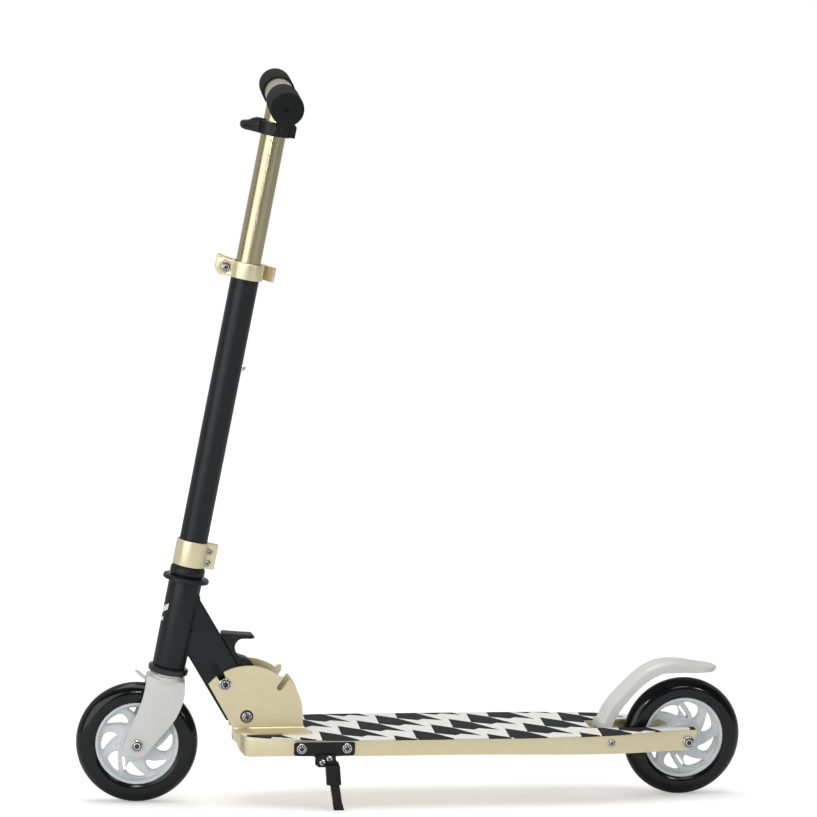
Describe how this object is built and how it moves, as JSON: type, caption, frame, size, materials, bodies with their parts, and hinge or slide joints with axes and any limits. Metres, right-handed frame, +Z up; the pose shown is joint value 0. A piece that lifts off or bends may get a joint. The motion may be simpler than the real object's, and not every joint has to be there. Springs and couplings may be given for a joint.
{
  "type": "kick scooter",
  "caption": "Folding kick scooter for children: long deck with a gritty top, spoon brake over the rear wheel, folding neck, height-set T handlebar and a swing-down side stand.",
  "frame": {"origin": "on the ground, below the centre of the whole scooter as it leans on its stand", "axes": "+X forward, the way it rides; +Y to the rider's left, the stand's side; +Z up"},
  "size_m": [0.7016, 0.3276, 0.7526],
  "materials": {
    "gold_paint": "satin metallic powder coat",
    "black_paint": "satin powder coat",
    "white_paint": "gloss powder coat",
    "bright_steel": "bright zinc plate",
    "dark_steel": "blackened",
    "urethane": "glossy cast urethane",
    "white_plastic": "moulded, slightly milky",
    "black_foam": "closed-cell foam with fine pores",
    "black_plastic": "moulded, ribbed",
    "grip_tape": "printed, gritty"
  },
  "bodies": {
    "deck_body": {"deck": "gold_paint", "grip_tape": "grip_tape", "fold_plate_left": "gold_paint", "fold_plate_right": "gold_paint", "fold_pivot_bolt": "bright_steel", "fold_pivot_nut": "bright_steel", "fender_pivot_bolt": "bright_steel", "fender_pivot_nut": "bright_steel", "fender_spring": "dark_steel", "rear_axle_bolt": "bright_steel", "rear_axle_nut": "bright_steel", "rear_spacer_left": "bright_steel", "rear_spacer_right": "bright_steel", "kickstand_plate": "black_plastic", "kickstand_screw_front": "bright_steel", "kickstand_screw_rear": "bright_steel", "kickstand_pivot_rivet": "bright_steel"},
    "kickstand": {"kickstand_housing": "black_plastic", "kickstand_leg": "black_plastic", "kickstand_stop_rivet": "bright_steel"},
    "fender": {"fender": "white_paint"},
    "rear_wheel": {"rear_tyre": "urethane", "rear_hub": "white_plastic", "rear_bearing_left": "bright_steel", "rear_bearing_right": "bright_steel", "rear_bearing_sleeve": "bright_steel"},
    "neck": {"neck_frame": "black_paint", "headset_cup_upper": "black_paint", "headset_cup_lower": "black_paint", "headset_bearing_upper": "bright_steel", "headset_bearing_lower": "bright_steel"},
    "latch": {"release_lever": "black_plastic", "lock_pin": "bright_steel", "lock_bolt_head": "bright_steel", "lock_bolt_nut": "bright_steel"},
    "steering": {"fork": "white_paint", "steerer_tube": "dark_steel", "headset_lock_collar": "black_paint", "stem_outer_tube": "black_paint", "stem_clamp": "gold_paint", "stem_clamp_bolt_upper": "bright_steel", "stem_clamp_bolt_lower": "bright_steel", "quick_clamp": "gold_paint", "quick_clamp_bolt": "bright_steel", "front_axle_bolt": "bright_steel", "front_axle_nut": "bright_steel", "front_spacer_left": "bright_steel", "front_spacer_right": "bright_steel"},
    "front_wheel": {"front_tyre": "urethane", "front_hub": "white_plastic", "front_bearing_left": "bright_steel", "front_bearing_right": "bright_steel", "front_bearing_sleeve": "bright_steel"},
    "quick_lever": {"quick_lever": "gold_paint"},
    "handlebar": {"t_tube": "gold_paint", "grip_left": "black_foam", "grip_right": "black_foam", "storage_clip": "black_plastic"},
    "height_button": {"height_button": "bright_steel"}
  },
  "joints": [
    {"name": "rear_wheel_spin", "type": "hinge", "parent": "deck_body", "child": "rear_wheel", "pos_m": [-0.28848, -0.04841, 0.06234], "axis": [0, 0.9974, -0.0725], "continuous": true},
    {"name": "fender_brake", "type": "hinge", "parent": "deck_body", "child": "fender", "pos_m": [-0.20048, -0.04804, 0.06732], "axis": [0, -0.9974, 0.0725], "range_deg": [0, 9.3], "stiffness_Nm_per_rad": 1.2, "springref_deg": -20.05},
    {"name": "kickstand_swing", "type": "hinge", "parent": "deck_body", "child": "kickstand", "pos_m": [0.09952, -0.0487, 0.05825], "axis": [0, 0.9974, -0.0725], "range_deg": [0, 75]},
    {"name": "fold", "type": "hinge", "parent": "deck_body", "child": "neck", "pos_m": [0.17782, -0.04632, 0.09106], "axis": [0, -0.9974, 0.0725], "range_deg": [0, 80]},
    {"name": "fold_latch", "type": "slide", "parent": "neck", "child": "latch", "axis": [0.521, 0.0619, 0.8513], "range_m": [0, 0.02], "stiffness_N_per_m": 600, "springref_m": -0.01},
    {"name": "steer", "type": "hinge", "parent": "neck", "child": "steering", "pos_m": [0.27155, -0.04841, 0.06234], "axis": [-0.1642, 0.0716, 0.9838], "range_deg": [-82, 97]},
    {"name": "front_wheel_spin", "type": "hinge", "parent": "steering", "child": "front_wheel", "pos_m": [0.28876, -0.0507, 0.06248], "axis": [0.1325, 0.9899, -0.0499], "continuous": true},
    {"name": "quick_release", "type": "hinge", "parent": "steering", "child": "quick_lever", "pos_m": [0.20903, -0.02992, 0.55573], "axis": [-0.1642, 0.0716, 0.9838], "range_deg": [0, 120]},
    {"name": "handlebar_height", "type": "slide", "parent": "steering", "child": "handlebar", "axis": [-0.1642, 0.0716, 0.9838], "range_m": [-0.1, 0]},
    {"name": "height_button_press", "type": "slide", "parent": "steering", "child": "height_button", "axis": [0.9775, -0.1222, 0.172], "range_m": [0, 0.003], "stiffness_N_per_m": 300, "springref_m": -0.003}
  ]
}
